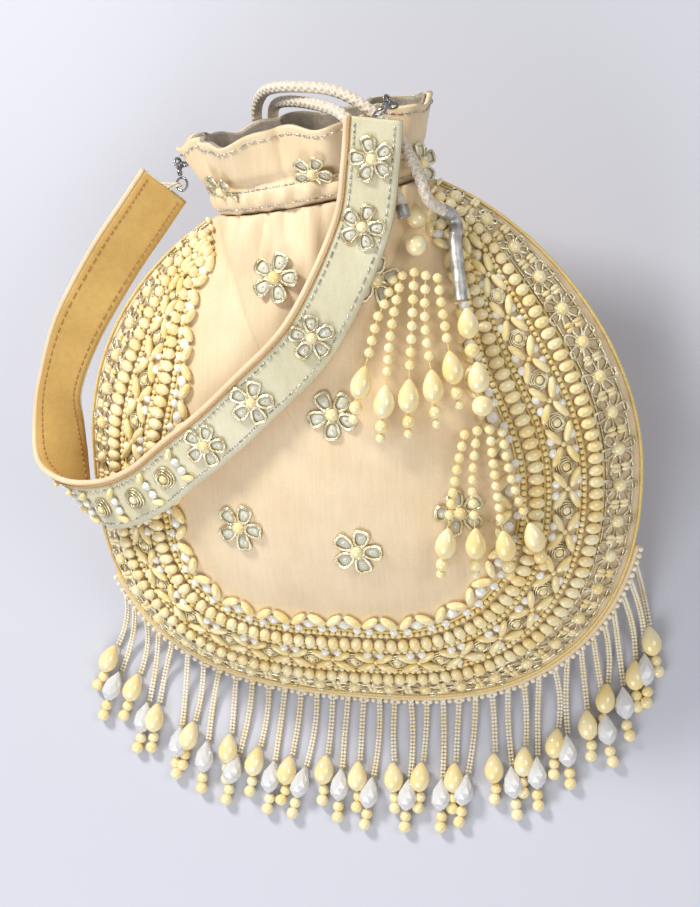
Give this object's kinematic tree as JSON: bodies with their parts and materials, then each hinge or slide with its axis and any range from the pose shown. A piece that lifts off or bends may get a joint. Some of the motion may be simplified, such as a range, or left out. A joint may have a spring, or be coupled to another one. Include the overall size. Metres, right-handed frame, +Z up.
{
  "type": "potli bag",
  "caption": "Round embroidered drawstring pouch lying on its back, with a gathered neck, bead rows, a bead fringe, tasselled cords and a detachable strap on clasps.",
  "frame": {"origin": "a point on the flat patch of the back panel that the bag lies on, under the middle of its widest line", "axes": "+Z up, out of the embroidered front as the bag lies; +Y from the bottom of the bag towards its neck; +X to the right seen from above"},
  "size_m": [0.2692, 0.3073, 0.1294],
  "materials": {
    "ivory_silk": "slubbed raw silk",
    "pale_silk": "satin, pale greenish cream",
    "grey_lining": "thin glittering lining",
    "gold_lining": "matt golden tan",
    "pearl_bead": "pearlised bead",
    "metal_thread": "coiled metallic thread",
    "bright_steel": "bright plated",
    "ivory_cord": "braided, matt",
    "silver_thread": "wound metallic thread"
  },
  "bodies": {
    "bag": {"front_panel": "ivory_silk", "back_panel": "ivory_silk", "collar": "ivory_silk", "lining_bag": "grey_lining", "collar_lining": "grey_lining", "outer_pearl_row": "pearl_bead", "outer_seed_row": "pearl_bead", "rosette_band": "pearl_bead", "middle_seed_row": "pearl_bead", "inner_pearl_row": "pearl_bead", "inner_seed_row": "pearl_bead", "scallop_border": "pearl_bead", "flower_ring": "pearl_bead", "bead_fringe": "pearl_bead", "field_flower_1": "metal_thread", "field_flower_2": "metal_thread", "field_flower_3": "metal_thread", "field_flower_4": "metal_thread", "field_flower_5": "metal_thread", "field_flower_6": "metal_thread", "left_bag_ring": "bright_steel", "right_bag_ring": "bright_steel", "drawstring_a": "ivory_cord", "drawstring_b": "ivory_cord", "end_wrap_a": "silver_thread", "end_wrap_b": "silver_thread", "tassel_a_drop": "pearl_bead", "tassel_a_pearl": "pearl_bead", "tassel_b_drop_1": "pearl_bead", "tassel_b_drop_2": "pearl_bead", "tassel_b_pearl_1": "pearl_bead", "tassel_b_pearl_2": "pearl_bead", "tassel_a_strand_1": "pearl_bead", "tassel_a_strand_2": "pearl_bead", "tassel_a_strand_3": "pearl_bead", "tassel_a_strand_4": "pearl_bead", "tassel_a_strand_5": "pearl_bead", "tassel_b_strand_1": "pearl_bead", "tassel_b_strand_2": "pearl_bead", "tassel_b_strand_3": "pearl_bead", "tassel_b_strand_4": "pearl_bead"},
    "strap": {"strap_face": "pale_silk", "strap_lining": "gold_lining", "strap_flower_1": "metal_thread", "strap_flower_2": "metal_thread", "strap_flower_3": "metal_thread", "strap_flower_4": "metal_thread", "strap_flower_5": "metal_thread", "strap_rose_1": "metal_thread", "strap_rose_2": "metal_thread", "strap_rose_3": "metal_thread", "left_clasp": "bright_steel", "right_clasp": "bright_steel", "left_strap_ring": "bright_steel", "right_strap_ring": "bright_steel"},
    "left_lever": {"left_clasp_lever": "bright_steel"},
    "right_lever": {"right_clasp_lever": "bright_steel"}
  },
  "joints": [
    {"name": "strap_swing", "type": "hinge", "parent": "bag", "child": "strap", "pos_m": [-0.0712, 0.10941, 0.0872], "axis": [-0.9238, -0.1876, -0.3338], "range_deg": [0, 75]},
    {"name": "left_lever_hinge", "type": "hinge", "parent": "strap", "child": "left_lever", "pos_m": [-0.07102, 0.10741, 0.08783], "axis": [0.9238, 0.1876, 0.3338], "range_deg": [-12, 0], "stiffness_Nm_per_rad": 0.002},
    {"name": "right_lever_hinge", "type": "hinge", "parent": "strap", "child": "right_lever", "pos_m": [0.02095, 0.12755, 0.1226], "axis": [0.9238, 0.1876, 0.3338], "range_deg": [-12, 0], "stiffness_Nm_per_rad": 0.002}
  ]
}
